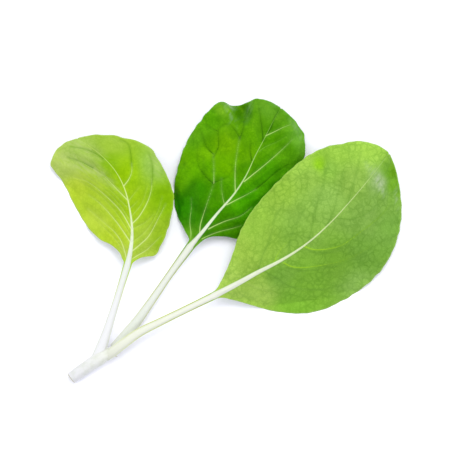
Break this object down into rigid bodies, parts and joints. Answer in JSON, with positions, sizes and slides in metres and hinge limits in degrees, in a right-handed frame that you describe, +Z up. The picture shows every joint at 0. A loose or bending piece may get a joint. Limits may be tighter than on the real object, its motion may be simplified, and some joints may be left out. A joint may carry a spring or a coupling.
{
  "type": "bok choy",
  "caption": "Young bok choy picked whole and lying flat: a short cut stem with slender pale stalks and broad oval green leaves fanned out from it.",
  "frame": {"origin": "middle of the plant's footprint, on the surface it lies on", "axes": "+X along the longest side, from the cut stem towards the right-hand leaf; +Y towards the tips of the leaves; +Z up, away from the surface"},
  "size_m": [0.1163, 0.0943, 0.0116],
  "materials": {
    "stem_flesh": "moist white-green stem flesh, fine ribs along its length, soft sheen",
    "young_leaf": "young yellow-green leaf, waxy satin upper face with pale veins",
    "dark_leaf": "mature deep green leaf, satin upper face puffed between sunken pale veins",
    "leaf_underside": "matte paler green under face of a leaf with a raised white midrib and a fine vein net"
  },
  "bodies": {
    "root": {"stem": "stem_flesh", "left_leaf": "young_leaf", "middle_leaf": "dark_leaf", "right_leaf": "leaf_underside"}
  },
  "joints": []
}
